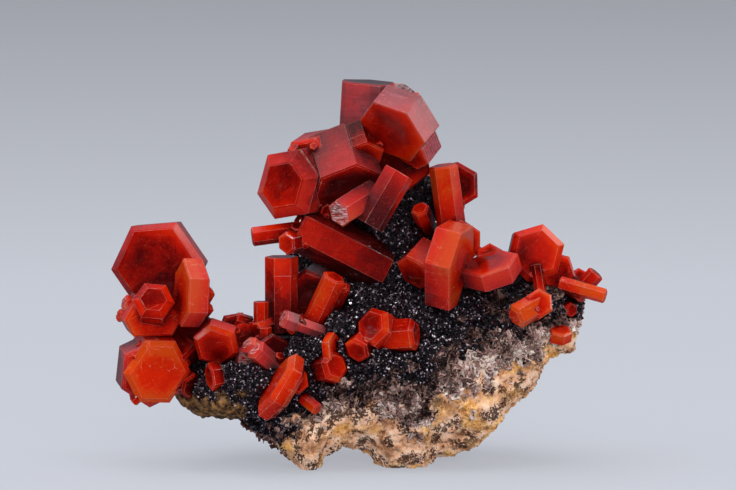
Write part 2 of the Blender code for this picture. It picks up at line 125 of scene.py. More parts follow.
SUMMIT_CLUSTER = {
    "left_giant": ((-8.9, -5.5, 34.2), (-0.55, -0.83, -0.05), 8.8, 6, 40, 1.4, 0.5, 0.15),
    "left_giant_backer": ((-5.9, -3.5, 36.2), (-0.35, -0.9, -0.2), 6.6, 5, 40, 0.4, 0.35, 0.3),
    "centre_giant": ((-1.1, -5, 33.2), (0.2, -0.62, -0.6), 8.8, 7, 0, 0.2, 0.12, 0.35),
    "inner_giant": ((0.6, -4, 36.9), (0.2, -0.62, -0.6), 5.4, 4, 0, 0.2, 0.5),
    "hollow_plate": ((4.6, -2.6, 36.4), (0.1, -1, -0.2), 8.6, 4, 10, 0.3, 0.2),
    "under_plate": ((-4.4, -3.4, 30.4), (-0.2, -1, -0.2), 5, 4, 0, 0.3, 0.45),
    "top_prism": ((1.5, 0.6, 45.8), (0.06, -0.05, 1), 7.8, 7.5, 0, 0.2, 0.15, 0.7),
    "top_step": ((5.3, -2.4, 45.1), (0.3, -0.5, 0.8), 3.6, 5, 25, 0.5, 0.3, 0, 0.6),
    "right_giant": ((4, -6.1, 40.1), (-0.5, -0.62, -0.57), 9, 3.6, 10, 0.15, 0.5, 1.1),
    "right_giant_backer": ((4.6, -4.2, 40.2), (-0.3, -0.8, -0.4), 5.6, 4, 20),
    "right_flank_prism": ((6.3, -5.3, 37.4), (-0.5, -0.6, -0.6), 4.6, 3.4, 54, 0.15, 0.55, 1.5),
    "central_prism": ((4.9, -7.4, 35.5), (0.5, 0.08, 0.85), 3.8, 7.2, 3, 0.1, 0.32, 0.15),
    "bright_end_prism": (
        (-2.2, -10, 30.8), (-0.55, -0.65, -0.3), 3.4, 6.5, 0, 0.2, 0.55, 0.3, 0.9
    ),
    "long_prism": ((-7.2, -3, 28.9), (-0.86, -0.12, 0.45), 6, 12, 0, 0.2, 0.2, 0.05),
    "outer_prism": ((-12.6, -4, 27.6), (-0.97, -0.1, -0.12), 2.3, 6.5, 0, 0.2),
    "textured_prism": ((-8.5, -6, 27), (-0.6, -0.75, -0.1), 2.8, 4.5, 0, 0.2),
}

SHOULDER_CLUSTER = {
    "upright_prism": ((10.1, -3.9, 36.1), (-0.14, -0.1, 1), 3.5, 8.5, 22, 0.2, 0.65),
    "round_back_plate": ((12, -3, 33.7), (0.2, -0.9, 0.1), 5.6, 4, 0, 0.5, 0.35),
    "bright_plate": ((12.2, -8, 24.9), (0.92, -0.3, -0.21), 9.4, 3.2, 36, 0.15, 0.85, 0.15),
    "bright_plate_backer": ((12.9, -4, 26.9), (0.6, -0.8, 0), 5, 3, 0, 0.2),
    "left_plate": ((6.6, -5.5, 23.4), (-0.5, -0.6, -0.5), 5, 4, 0, 0.2),
    "lying_plate": ((15.5, -6.4, 24.8), (-0.28, -0.3, 0.92), 7, 2.3, 20, 0.2, 0.55, 0.3),
    "rough_plate": ((15.7, -3.9, 25.1), (0, -0.9, 0.3), 3.6, 2.6, 0, 0.2),
}

RIGHT_CLUSTER = {
    "fan_plate": ((21.2, -3, 25.6), (0.05, -0.95, 0.15), 7.2, 3.5, 46, 0.7, 0.6),
    "fan_step": ((23.8, -2.5, 23.4), (0.2, -0.9, 0.2), 4.8, 3, 15),
    "fan_edge": ((26.6, -2, 21.9), (0.3, -0.9, 0.3), 3.8, 3, 0, 0.2, 0.7),
    "hanging_prism": ((21.7, -4.2, 21), (0.15, -0.2, -1), 1.4, 3.4, 0, 0.1),
    "tip_prism": ((29.4, -5, 20.6), (0.95, -0.2, -0.25), 1.8, 5.8, 0, 0.2, 0.85),
    "tip_prism_upper": ((28.4, -3.6, 23.3), (0.6, -0.1, 0.7), 2.1, 4, 0, 0.2),
}

FLANK_CRYSTALS = {
    "flank_block": ((21.4, -8.5, 20.2), (0.2, -1, 0.3), 3.6, 4, 0, 0.3, 0.9),
    "flank_prism": ((18.4, -8.9, 18.5), (-0.8, -0.5, -0.4), 3, 4.8, 10, 0.4, 0.9),
}

CENTRE_CRYSTALS = {
    "centre_prism": ((6.9, -9.1, 16.6), (0.94, -0.32, 0.1), 4, 6.6, 12, 0.5),
    "centre_prism_upper": ((1.5, -9.3, 17.6), (-0.5, -0.72, 0.4), 5, 4.6, 20, 0.6, 0.5),
    "centre_prism_lower": ((-0.2, -9.6, 14.6), (-0.4, -0.8, -0.4), 3.3, 4),
}

BACK_LEFT_CLUSTER = {
    "back_plate_left": ((-6.5, 13.2, 14.5), (-0.3, 1, 0.3), 7, 5, 0, 0.5),
    "back_prism_left": ((-10, 11.4, 15.6), (-0.6, 0.8, 0.4), 4, 6),
    "back_prism_upper": ((-4.2, 11.8, 18.6), (-0.1, 0.7, 0.7), 3.4, 6),
}

BACK_RIGHT_CLUSTER = {
    "back_plate_right": ((10.5, 13.4, 13.5), (0.25, 1, 0.15), 6.4, 4.5, 0, 0.5),
    "back_prism_right": ((14.4, 12, 15.6), (0.6, 0.7, 0.4), 3.6, 5.5),
    "back_prism_inner": ((7.6, 13.2, 16.8), (-0.2, 0.8, 0.6), 2.8, 6),
}

SINGLE_CRYSTALS = {
    "dark_spire_crystal": ((7.3, -4, 31), (-0.3, -0.6, 0.7), 2.3, 4, 0, 0.2),
    "spire_back_crystal": ((4.6, 10.4, 29), (0.1, 1, 0.2), 6, 4, 0, 0.6),
    "spire_back_upper_crystal": ((1.4, 8, 36.4), (-0.3, 0.8, 0.5), 4.8, 4.5, 10, 0.4),
    "spire_back_side_crystal": ((9.4, 8.2, 33.2), (0.6, 0.75, 0.2), 4.4, 5, 20),
    "spire_back_low_crystal": ((-2.8, 8.8, 26.2), (-0.5, 0.8, 0.2), 4.6, 4.5, 5, 0.4),
    "small_left_crystal": ((-17.5, -8.5, 11.4), (-0.92, -0.37, -0.12), 3.5, 1.5, 5, 0.2),
    "embedded_crystal": ((-4.7, -9.6, 7.7), (0.62, -0.5, -0.45), 1.7, 2.6, 0, 0.2, 0.75),
    "right_edge_crystal": ((25.5, -3.4, 18.8), (0.5, -0.8, 0), 1.9, 2.5, 0, 0.2),
    "right_foot_crystal": ((24, -5.2, 16.7), (0.12, -0.42, 0.9), 3, 1.5, 0, 0.2, 0.95),
}

CLUSTERS = {
    "left_crystal_cluster": LEFT_CLUSTER,
    "lower_left_crystal_cluster": LOWER_LEFT_CLUSTER,
    "middle_crystal_cluster": MIDDLE_CLUSTER,
    "low_middle_crystals": LOW_MIDDLE_CRYSTALS,
    "summit_crystal_cluster": SUMMIT_CLUSTER,
    "shoulder_crystal_cluster": SHOULDER_CLUSTER,
    "right_crystal_cluster": RIGHT_CLUSTER,
    "right_flank_crystals": FLANK_CRYSTALS,
    "centre_crystals": CENTRE_CRYSTALS,
    "back_left_crystal_cluster": BACK_LEFT_CLUSTER,
    "back_right_crystal_cluster": BACK_RIGHT_CLUSTER,
    **{name: {name: row} for name, row in SINGLE_CRYSTALS.items()},
}

# How far each prism face of a crystal is from its axis, as a share of the ideal distance.
SIDES = {
    "large_plate": (1, 1, 1, 1, 0.97, 1),
    "wedge_plate": (1, 1, 0.62, 1, 1, 0.9),
    "low_plate": (0.87, 0.92, 1.03, 1, 1.05, 1.06),
    "left_giant": (0.97, 1.18, 1.08, 1, 1, 0.92),
    "top_prism": (1.16, 0.86, 1, 1, 1, 0.84),
    "bright_plate": (1, 1, 1.4, 1, 1, 1),
}

# The crystals' material.
RED_TONES = (
    (0, (0.07, 0.001, 0.001)),
    (0.22, (0.28, 0.0025, 0.001)),
    (0.5, (0.7, 0.01, 0.001)),
    (0.8, (1, 0.034, 0.002)),
    (1, (1, 0.1, 0.008)),
)
# Painted shade darkens a crystal where a neighbour is this near.
OCCLUSION_REACH = 3  # in mm, how near a neighbour is that darkens a crystal
# The bright lines along the corners are partly wear and partly painted highlight.
EDGE_RADIUS = 0.08  # in mm, the width of the bright lines along the corners
RINGS_PER_MM = 1.7  # on the free end
CHANCE_STEP = 7.3  # a crystal's noises are shifted by this for each one before it
CHANCE_SPAN = 50  # and the shift begins again at this

# The crystals' worn corners and growth steps.
EDGE_SHARE = 0.006  # width of the worn corners, as a share of the crystal's width
STEPS_PER_MM = 0.15  # along the prism
STEP_DEPTH = 0.006  # as a share of the crystal's width
STEP_LENGTH = 0.02  # in mm, the slope of one step

# The small crystals along the seams.
SEAM_CRYSTALS = 1.6  # for each main crystal of a node but the first
SEAM_LENGTH = 0.3  # in mm, the shortest seam that bears one
SEAM_NUMBERS = 1000  # their numbers start this far after the node's first

# The matrix.
ROCK_GROWTH = 0.3 * MM  # closes the room around the crystals' roots
ROCK_GRAIN = 0.255 * MM  # the spacing of its rebuilt surface
WELD_REACH = 0.002 * MM

# What grows on the matrix: how many pieces, and half their length, width and height in mm.
DRUSE_COUNT = 47000  # in front and again behind
DRUSE_SIZES = (0.083,) * 3
DRUSE_PARTING = 2  # in mm, the y where the druse of the front ends
# Painted shade darkens the druse where a neighbour is this near.
DRUSE_SHADE_REACH = 8  # in mm, how near a neighbour is that darkens the druse
BLADE_COUNT = 7500
BLADE_SIZES = (0.4, 0.17, 0.03)
CRUMB_COUNT = 9000
CRUMB_SIZES = (0.13,) * 3
CRUMB_RELIEF = 0.6  # how high they count as, from 0 to 1, for the rock's colours

# The floor, in metres.
SWEEP_SIDES = 96
SWEEP_RINGS = 24
SWEEP_START = 0.02  # radius of the first ring
SWEEP_REACH = 1.6
SWEEP_FLAT = 0.1  # radius of the level part
SWEEP_RISE = 0.22

# Small bright lamps for the glints on edges and druse.
GLINT_LAMPS = [
    (-0.3, -0.3, 0.4), (0.3, -0.25, 0.35), (-0.05, -0.45, 0.3), (0.1, -0.1, 0.5),
    (-0.45, -0.15, 0.15),
]
GLINT_SIZE = (0.03, 0.03)
GLINT_POWER = 0.15
LAMP_AIM = (0, 0, 0.02)


def material_nodes(name):
    made = bpy.data.materials.new(name)
    made.use_nodes = True
    return made, made.node_tree, made.node_tree.nodes["Principled BSDF"]


def feed(tree, socket, value):
    if isinstance(value, bpy.types.NodeSocket):
        tree.links.new(value, socket)
    else:
        socket.default_value = value


def add_node(tree, kind, settings, *values):
    """A node with these settings, and its first inputs fed with these values in turn."""
    node = tree.nodes.new("ShaderNode" + kind)
    for key, value in settings.items():
        setattr(node, key, value)
    for socket, value in zip(node.inputs, values):
        if value is not None:
            feed(tree, socket, value)
    return node


def calculate(tree, operation, a, b=0, c=0, clamp=False):
    return add_node(tree, "Math", {"operation": operation, "use_clamp": clamp}, a, b, c).outputs[0]


def rescale(tree, value, low, high, to_low=0, to_high=1):
    node = add_node(tree, "MapRange", {"clamp": True}, value, low, high, to_low, to_high)
    return node.outputs[0]


def vector(tree, operation, *values):
    return add_node(tree, "VectorMath", {"operation": operation}, *values).outputs["Vector"]


def dot(tree, a, b):
    return add_node(tree, "VectorMath", {"operation": "DOT_PRODUCT"}, a, b).outputs["Value"]


def scaled(tree, place, by):
    return vector(tree, "MULTIPLY", place, by)


def parts_of(tree, value):
    """The three numbers of a vector."""
    return add_node(tree, "SeparateXYZ", {}, value).outputs


def random_from(tree, seed):
    """A random number and a random colour, the same for the same seed."""
    return add_node(tree, "TexWhiteNoise", {"noise_dimensions": "1D"}, None, seed).outputs


def place_in_mm(tree):
    place = add_node(tree, "NewGeometry", {}).outputs["Position"]
    return scaled(tree, place, (1 / MM,) * 3)


def noise_value(tree, place, scale, detail=3, roughness=0.5, output="Fac"):
    node = tree.nodes.new("ShaderNodeTexNoise")
    feed(tree, node.inputs["Vector"], place)
    node.inputs["Scale"].default_value = scale
    node.inputs["Detail"].default_value = detail
    node.inputs["Roughness"].default_value = roughness
    return node.outputs[output]


def blocks(tree, place, scale, feature, output):
    """Blocks like those between fractures: a colour for each, or the way to its edge."""
    node = tree.nodes.new("ShaderNodeTexVoronoi")
    node.feature = feature
    feed(tree, node.inputs["Vector"], place)
    node.inputs["Scale"].default_value = scale
    return node.outputs[output]


def occlusion(tree, reach):
    """1 in the open and nearer to 0 in a hollow."""
    node = tree.nodes.new("ShaderNodeAmbientOcclusion")
    node.samples = 6
    node.inputs["Distance"].default_value = reach
    return node.outputs["AO"]


def noise_colour(tree, place, scale):
    """Three noises round 0, to shift a place by."""
    return vector(tree, "SUBTRACT", noise_value(tree, place, scale, 2, 0.5, "Color"), MIDDLE)


def blend(tree, share, first, second):
    """A mix of two colours, which stand at sockets 6 and 7 of the node."""
    node = tree.nodes.new("ShaderNodeMix")
    node.data_type = "RGBA"
    feed(tree, node.inputs[0], share)
    feed(tree, node.inputs[6], first)
    feed(tree, node.inputs[7], second)
    return node.outputs[2]


def ramp(tree, share, stops):
    node = tree.nodes.new("ShaderNodeValToRGB")
    feed(tree, node.inputs[0], share)
    points = node.color_ramp.elements
    while len(points) < len(stops):
        points.new(1)
    for point, (place, colour) in zip(points, stops):
        point.position = place
        point.color = (*colour, 1)
    return node.outputs[0]


def attribute(tree, name, output="Vector"):
    node = tree.nodes.new("ShaderNodeAttribute")
    node.attribute_name = name
    return node.outputs[output]


def bump(tree, height, distance, strength=1, after=None):
    node = tree.nodes.new("ShaderNodeBump")
    node.inputs["Strength"].default_value = strength
    node.inputs["Distance"].default_value = distance
    feed(tree, node.inputs["Height"], height)
    if after:
        feed(tree, node.inputs["Normal"], after)
    return node.outputs["Normal"]


def product(tree, *values):
    """The values multiplied together."""
    made = values[0]
    for value in values[1:]:
        made = calculate(tree, "MULTIPLY", made, value)
    return made


def total(tree, *values):
    """The values added together."""
    made = values[0]
    for value in values[1:]:
        made = calculate(tree, "ADD", made, value)
    return made


def around_zero(tree, value, spread):
    """A value from 0 to 1, brought to half the spread on each side of zero."""
    return calculate(tree, "MULTIPLY_ADD", value, spread, -spread / 2)


def thin_lines(tree, field, width, strength):
    """Lines where a noise passes its middle value."""
    away = calculate(tree, "ABSOLUTE", calculate(tree, "SUBTRACT", field, 0.5))
    return rescale(tree, away, 0, width, strength, 0)


def hexagon_share(tree, growth, half_width):
    """How far out from the crystal's axis a place is: 0 on the axis and 1 on the prism faces."""
    reaches = []
    for side in range(PRISM_SIDES // 2):
        angle = math.pi * side / (PRISM_SIDES // 2)
        way = (math.cos(angle), math.sin(angle), 0)
        reaches.append(calculate(tree, "ABSOLUTE", dot(tree, growth, way)))
    widest = calculate(tree, "MAXIMUM", calculate(tree, "MAXIMUM", *reaches[:2]), reaches[2])
    return calculate(tree, "DIVIDE", widest, half_width)


def face_tone(tree, growth, chance):
    """A random number for each of the six prism faces."""
    parts = parts_of(tree, growth)
    angle = calculate(tree, "ARCTAN2", parts[1], parts[0])
    turn = product(tree, angle, PRISM_SIDES / (2 * math.pi))
    face = calculate(tree, "FLOORED_MODULO", calculate(tree, "ROUND", turn), PRISM_SIDES)
    return random_from(tree, total(tree, face, chance))["Value"]


def slant(tree, growth, half_width, chance):
    """A tone that rises evenly through the crystal, in a direction of its own."""
    way = vector(tree, "SUBTRACT", random_from(tree, chance)["Color"], MIDDLE)
    way = vector(tree, "NORMALIZE", scaled(tree, way, (1, 1, 0.4)))
    share = calculate(tree, "DIVIDE", dot(tree, growth, way), half_width)
    return rescale(tree, share, -1, 1, -0.25, 0.22)


Spot = namedtuple(
    "Spot",
    "growth place half_width glow chance along frost dull out on_end on_side flecks open_air",
)
# What the material knows of a spot on a crystal: its place in the crystal's own frame, the same
# shifted by chance, the crystal's traits, how far along the axis and out from it the spot is,
# whether it is on the end or on a prism face, a fine noise, and how open it is.


def read_spot(tree):
    growth = attribute(tree, "growth")
    half_width, glow, chance = parts_of(tree, attribute(tree, "traits"))
    along, frost, dull = parts_of(tree, attribute(tree, "ends"))
    shift = add_node(tree, "CombineXYZ", {}, chance, chance, chance).outputs[0]
    place = vector(tree, "ADD", growth, shift)
    return Spot(
        growth, place, half_width, glow, chance, along, frost, dull,
        out=hexagon_share(tree, growth, half_width),
        on_end=rescale(tree, along, 0.97, 0.985),
        on_side=rescale(tree, along, 0.94, 0.97, 1, 0),
        flecks=noise_value(tree, place, 3, 5, 0.7),
        open_air=occlusion(tree, OCCLUSION_REACH * MM),
    )


def red_with_painted_light(tree, spot):
    """The red, from dark to orange, with painted light and shade: a painted glow that brightens lit
    crystals, rims and free ends, and painted shade towards the hidden root and near neighbours.
    """
    facet = around_zero(tree, face_tone(tree, spot.growth, spot.chance), 0.34)
    # blocks of tone: fracture planes and painted inner reflections
    planes_and_reflections = blocks(tree, scaled(tree, spot.place, (1, 1, 0.6)), 0.5, "F1", "Color")
    tone = total(
        tree,
        around_zero(tree, noise_value(tree, spot.place, 0.3, 3, 0.5), 0.45),
        around_zero(tree, spot.flecks, 0.38),
        around_zero(tree, parts_of(tree, planes_and_reflections)[0], 0.16),
        slant(tree, spot.growth, spot.half_width, spot.chance),
        product(tree, facet, spot.on_side),
        # painted glow: the end face darker in the middle and lit towards its rim
        product(tree, rescale(tree, spot.out, 0.5, 0.97, -0.2, 0.25), spot.on_end),
        # painted glow on the prism faces towards the free end
        product(tree, rescale(tree, spot.along, 0.6, 1, 0, 0.15), spot.on_side),
        # painted shade towards the hidden root
        rescale(tree, spot.along, -0.7, 0.3, -0.3, 0),
        # painted shade where neighbours are near
        rescale(tree, spot.open_air, 0.3, 0.9, -0.45, 0),
    )
    # the crystal's painted glow, as of light coming through
    tone = calculate(tree, "ADD", tone, spot.glow, clamp=True)
    return ramp(tree, tone, RED_TONES)


def flaws_within(tree, spot, edge, colour):
    """Cracks, streaks and fine veils, most of them in the brightest crystals."""
    marks = rescale(tree, noise_value(tree, spot.place, 0.7, 3), 0.55, 0.65)
    bright = rescale(tree, spot.glow, 0.7, 0.88, 0.1, 1)
    crack = product(tree, rescale(tree, edge, 0, 0.022, 0.75, 0), marks, bright)
    colour = blend(tree, crack, colour, (1, 0.5, 0.33, 1))
    streak = noise_value(tree, scaled(tree, spot.place, (0.4, 5, 1.5)), 0.9, 3, 0.6)
    streak = rescale(tree, streak, 0.63, 0.69, 0, 0.45)
    streak = product(tree, streak, rescale(tree, spot.glow, 0.4, 0.8, 0.15, 1))
    colour = blend(tree, streak, colour, (1, 0.33, 0.16, 1))
    veil = thin_lines(tree, noise_value(tree, spot.place, 0.6, 3), 0.015, 0.15)
    veil = product(tree, veil, rescale(tree, spot.flecks, 0.5, 0.6))
    return blend(tree, veil, colour, (0.95, 0.25, 0.12, 1))


def frost_and_glare_on(tree, spot):
    """How far the end of the crystal is etched white, partly as a painted reflection."""
    etched = noise_value(tree, scaled(tree, spot.place, (1, 4, 1)), 1.5, 4, 0.6)
    return product(tree, spot.on_end, spot.frost, rescale(tree, etched, 0.4, 0.6))


def dull_and_sheen_on(tree, spot):
    """How dull the prism faces are, with a pale painted sheen, in bands across the crystal."""
    bands = noise_value(tree, scaled(tree, spot.place, (0.3, 0.3, 6)), 1, 4, 0.7)
    return product(tree, spot.on_side, spot.dull, rescale(tree, bands, 0.3, 0.7, 0.25, 0.6))


def edge_wear_and_highlights(tree, spot, rounded, colour):
    """Pale lines along the corners, partly wear and partly painted highlight, and nearly white
    painted glints where a corner is chipped.
    """
    flat = add_node(tree, "NewGeometry", {}).outputs["True Normal"]
    worn_and_lit = rescale(tree, dot(tree, rounded, flat), 0.91, 0.99, 1, 0)
    # painted highlight: the lines show only where the corner is open
    worn_and_lit = product(tree, worn_and_lit, rescale(tree, spot.open_air, 0.55, 0.8))
    chips_and_glints = rescale(tree, noise_value(tree, spot.place, 1.3, 4, 0.7), 0.4, 0.62)
    # nearly white: painted glints
    pale = blend(tree, rescale(tree, chips_and_glints, 0.7, 1), (1, 0.5, 0.42, 1), (1, 0.88, 0.84, 1))
    return blend(tree, product(tree, worn_and_lit, rescale(tree, chips_and_glints, 0, 1, 0.45, 1)), colour, pale)


def crystal_relief(tree, spot, rounded):
    """Fine lines across the prism faces, rings on the end and a grain all over."""
    lines = noise_value(tree, scaled(tree, spot.place, (0.25, 0.25, 5)), 1.6, 3, 0.6)
    around = product(tree, spot.out, spot.half_width)
    around = calculate(tree, "MULTIPLY_ADD", noise_value(tree, spot.place, 0.8, 2), 0.6, around)
    rings = calculate(tree, "FRACT", product(tree, around, RINGS_PER_MM))
    fine = noise_value(tree, spot.place, 5, 5, 0.65)
    normal = bump(tree, lines, 0.03 * MM, 0.5, rounded)
    normal = bump(tree, rings, 0.01 * MM, 0.3, normal)
    return bump(tree, fine, 0.02 * MM, 0.2, normal)


def crystal_material():
    """Red and translucent, with painted glow and shade, flaws within, and pale lines of wear and
    painted highlight along the corners.
    """
    made, tree, shader = material_nodes("vanadinite_crystal")
    spot = read_spot(tree)
    shift = noise_colour(tree, spot.place, 0.9)
    wavy = vector(tree, "MULTIPLY_ADD", shift, (0.9,) * 3, spot.place)
    edge = blocks(tree, wavy, 0.62, "DISTANCE_TO_EDGE", "Distance")
    colour = flaws_within(tree, spot, edge, red_with_painted_light(tree, spot))
    frost_and_glare_share = frost_and_glare_on(tree, spot)
    # pale pink-white on the end: etching and a painted reflection
    colour = blend(tree, frost_and_glare_share, colour, (0.85, 0.62, 0.62, 1))
    dull_and_sheen_share = dull_and_sheen_on(tree, spot)
    # a pale pink: dull etching and a painted sheen
    colour = blend(tree, dull_and_sheen_share, colour, (0.72, 0.2, 0.24, 1))
    bevel = tree.nodes.new("ShaderNodeBevel")
    bevel.inputs["Radius"].default_value = EDGE_RADIUS * MM
    rounded = bevel.outputs[0]
    feed(tree, shader.inputs["Base Color"], edge_wear_and_highlights(tree, spot, rounded, colour))
    feed(tree, shader.inputs["Normal"], crystal_relief(tree, spot, rounded))
    rough = rescale(tree, spot.flecks, 0.3, 0.7, 0.02, 0.12)
    rough = calculate(tree, "MULTIPLY_ADD", dull_and_sheen_share, 0.35, rough)
    feed(tree, shader.inputs["Roughness"], calculate(tree, "MULTIPLY_ADD", frost_and_glare_share, 0.3, rough))
    shader.inputs["IOR"].default_value = 1.8
    shader.inputs["Subsurface Weight"].default_value = 0.5
    shader.inputs["Subsurface Radius"].default_value = (1, 0.14, 0.04)
    shader.inputs["Subsurface Scale"].default_value = 0.5 * MM
    shader.inputs["Transmission Weight"].default_value = 0.45
    return made


def rock_grey(tree, place, large, grain):
    """A dark, pinkish grey with pale curls."""
    curls = total(
        tree,
        thin_lines(tree, noise_value(tree, place, 1.5, 2), 0.05, 0.35),
        product(tree, grain, 0.7),
        rescale(tree, large, 0.4, 0.6, -0.2, 0.12),
    )
    return ramp(tree, curls, (
        (0.28, (0.006, 0.004, 0.004)), (0.42, (0.09, 0.042, 0.034)), (0.6, (0.4, 0.21, 0.17)),
        (0.75, (0.86, 0.58, 0.49)),
    ))


def rock_cream(tree, place, large, grain, relief):
    """Cream to pink, with patches of dark speckles and dark hollows."""
    cream = ramp(tree, large, (
        (0.36, (0.34, 0.13, 0.05)), (0.44, (0.66, 0.33, 0.16)), (0.5, (0.92, 0.53, 0.33)),
        (0.6, (1, 0.71, 0.53)),
    ))
    cream = blend(tree, rescale(tree, grain, 0.45, 0.8, 0, 0.4), cream, (0.98, 0.84, 0.7, 1))
    patches = rescale(tree, noise_value(tree, place, 0.5, 3, 0.6), 0.42, 0.58, 0.7, 0.4)
    speckle = calculate(tree, "SUBTRACT", noise_value(tree, place, 4, 5, 0.7), patches)
    cream = blend(tree, rescale(tree, speckle, 0, 0.05, 0, 0.95), cream, (0.06, 0.02, 0.009, 1))
    return blend(tree, rescale(tree, relief, 0.08, 0.25, 0.7, 0), cream, (0.12, 0.055, 0.03, 1))


def rock_yellow(tree, place, relief):
    """An ochre stain, brown in the hollows."""
    yellow = ramp(tree, noise_value(tree, place, 1.6, 5, 0.7), (
        (0.35, (0.34, 0.12, 0.02)), (0.45, (0.78, 0.36, 0.08)), (0.56, (0.97, 0.58, 0.23)),
        (0.7, (1, 0.82, 0.58)),
    ))
    return blend(tree, rescale(tree, relief, 0.1, 0.3, 0.7, 0), yellow, (0.16, 0.06, 0.015, 1))


def rock_brown(tree, place):
    """The brown of the left tip."""
    return ramp(tree, noise_value(tree, place, 1.2, 5, 0.65), (
        (0.38, (0.02, 0.01, 0.006)), (0.48, (0.12, 0.052, 0.017)), (0.62, (0.34, 0.17, 0.055)),
    ))


def rock_material(name, own_tone):
    """Black druse above, grey blades in the middle, and a pale, stained foot."""
    made, tree, shader = material_nodes(name)
    place = place_in_mm(tree)
    zones = add_node(tree, "SeparateColor", {}, attribute(tree, "zones", "Color")).outputs
    pale, bladed, ochre = zones[0], zones[1], zones[2]
    relief = attribute(tree, "relief", "Fac")
    large = noise_value(tree, place, 0.45, 4, 0.6)
    grain = noise_value(tree, place, 3.5, 5, 0.7)
    if own_tone:
        tone = attribute(tree, "tone", "Fac")
        grain = calculate(tree, "MULTIPLY_ADD", tone, 0.5, product(tree, grain, 0.5))
    colour = blend(tree, grain, (0.001, 0.001, 0.002, 1), (0.01, 0.01, 0.014, 1))
    colour = blend(tree, bladed, colour, rock_grey(tree, place, large, grain))
    colour = blend(tree, pale, colour, rock_cream(tree, place, large, grain, relief))
    colour = blend(tree, ochre, colour, rock_yellow(tree, place, relief))
    colour = blend(tree, attribute(tree, "brown", "Fac"), colour, rock_brown(tree, place))
    feed(tree, shader.inputs["Base Color"], colour)
    feed(tree, shader.inputs["Roughness"], rescale(tree, grain, 0.3, 0.7, 0.35, 0.75))
    shader.inputs["Specular IOR Level"].default_value = 0.3
    feed(tree, shader.inputs["Normal"], bump(tree, grain, 0.15 * MM, 0.7))
    shader.inputs["Subsurface Weight"].default_value = 0.15
    shader.inputs["Subsurface Scale"].default_value = 0.4 * MM
    return made


def druse_material():
    """Tiny black crystals, some with painted glints, and painted shade where neighbours are near.
    """
    made, tree, shader = material_nodes("black_druse")
    # painted shade: darker and fewer glints where neighbours are near
    open_air = rescale(tree, occlusion(tree, DRUSE_SHADE_REACH * MM), 0.1, 0.45, 0.75, 1)
    tone = product(tree, attribute(tree, "tone", "Fac"), open_air)
    # the palest tones are painted glints
    colour = ramp(tree, tone, (
        (0.5, (0.002, 0.001, 0.002)), (0.72, (0.012, 0.008, 0.011)), (0.83, (0.12, 0.09, 0.12)),
        (0.94, (0.42, 0.34, 0.42)), (1, (1, 0.93, 1)),
    ))
    feed(tree, shader.inputs["Base Color"], colour)
    shader.inputs["Roughness"].default_value = 0.06
    shader.inputs["IOR"].default_value = 1.9
    return made


def blade_material():
    """Frosted plates, from nearly black at the druse to a greyish pink at the foot."""
    made, tree, shader = material_nodes("grey_blades")
    tone = attribute(tree, "tone", "Fac")
    grain = noise_value(tree, place_in_mm(tree), 4, 4, 0.6)
    mixed = calculate(tree, "MULTIPLY_ADD", grain, 0.4, calculate(tree, "SUBTRACT", tone, 0.2))
    colour = ramp(tree, mixed, (
        (0.1, (0.006, 0.004, 0.004)), (0.35, (0.075, 0.042, 0.038)), (0.6, (0.38, 0.23, 0.2)),
        (0.9, (1, 0.8, 0.73)),
    ))
    feed(tree, shader.inputs["Base Color"], colour)
    shader.inputs["Roughness"].default_value = 0.25
    shader.inputs["IOR"].default_value = 1.7
    shader.inputs["Subsurface Weight"].default_value = 0.3
    shader.inputs["Subsurface Scale"].default_value = 0.4 * MM
    return made


def hexagon(reaches):
    """The corners of a prism whose faces stand at these distances from the axis."""
    turn = 2 * math.pi / PRISM_SIDES
    corners = []
    for side in range(PRISM_SIDES):
        angle = turn * (side + 0.5)
        here, after = reaches[side], reaches[(side + 1) % PRISM_SIDES]
        along = (after - here * math.cos(turn)) / math.sin(turn)
        x = -here * math.sin(angle) - along * math.cos(angle)
        y = here * math.cos(angle) - along * math.sin(angle)
        corners.append(Vector((x, y, 0)))
    return corners


def worn_ring(reaches, height, wear):
    """A ring of the crystal's outline, with each corner cut off by its wear."""
    corners = hexagon(reaches)
    ring = []
    for i, corner in enumerate(corners):
        before = corners[i - 1] - corner
        after = corners[(i + 1) % PRISM_SIDES] - corner
        ring.append(corner + before.normalized() * wear + Vector((0, 0, height)))
        ring.append(corner + after.normalized() * wear + Vector((0, 0, height)))
    return ring


def crystal_rings(crystal, chance):
    """Rings from the hidden end to the free end, with growth steps on the prism."""
    half = crystal.length * MM / 2
    apothem = crystal.across * MM / 2 * math.cos(math.pi / PRISM_SIDES)
    bevel = crystal.bevel * MM
    wear = crystal.across * MM * EDGE_SHARE
    reaches = []
    for share in crystal.sides:
        reaches.append(apothem * share * (1 + chance.uniform(-UNEVEN, UNEVEN)))
    shoulder = half - PYRAMID_RISE * bevel
    rings = [worn_ring([reach - bevel for reach in reaches], -half, wear)]
    rings.append(worn_ring(reaches, -shoulder, wear))
    slope = STEP_LENGTH * MM
    count = round(crystal.length * STEPS_PER_MM)
    steps = [chance.uniform(-shoulder, shoulder) for _ in range(count)]
    last = -shoulder
    current = list(reaches)
    for height in sorted(steps):
        if height - last < 4 * slope or shoulder - height < 4 * slope:
            continue
        rings.append(worn_ring(current, height - slope, wear))
        for side in range(PRISM_SIDES):
            if chance.random() < 0.5:
                depth = chance.choice((-1, 0, 1)) * STEP_DEPTH * crystal.across * MM
                current[side] = reaches[side] + depth
        rings.append(worn_ring(current, height + slope, wear))
        last = height
    rings.append(worn_ring(current, shoulder, wear))
    current = [reach - bevel for reach in current]
    rings.append(worn_ring(current, half, wear))
    return rings


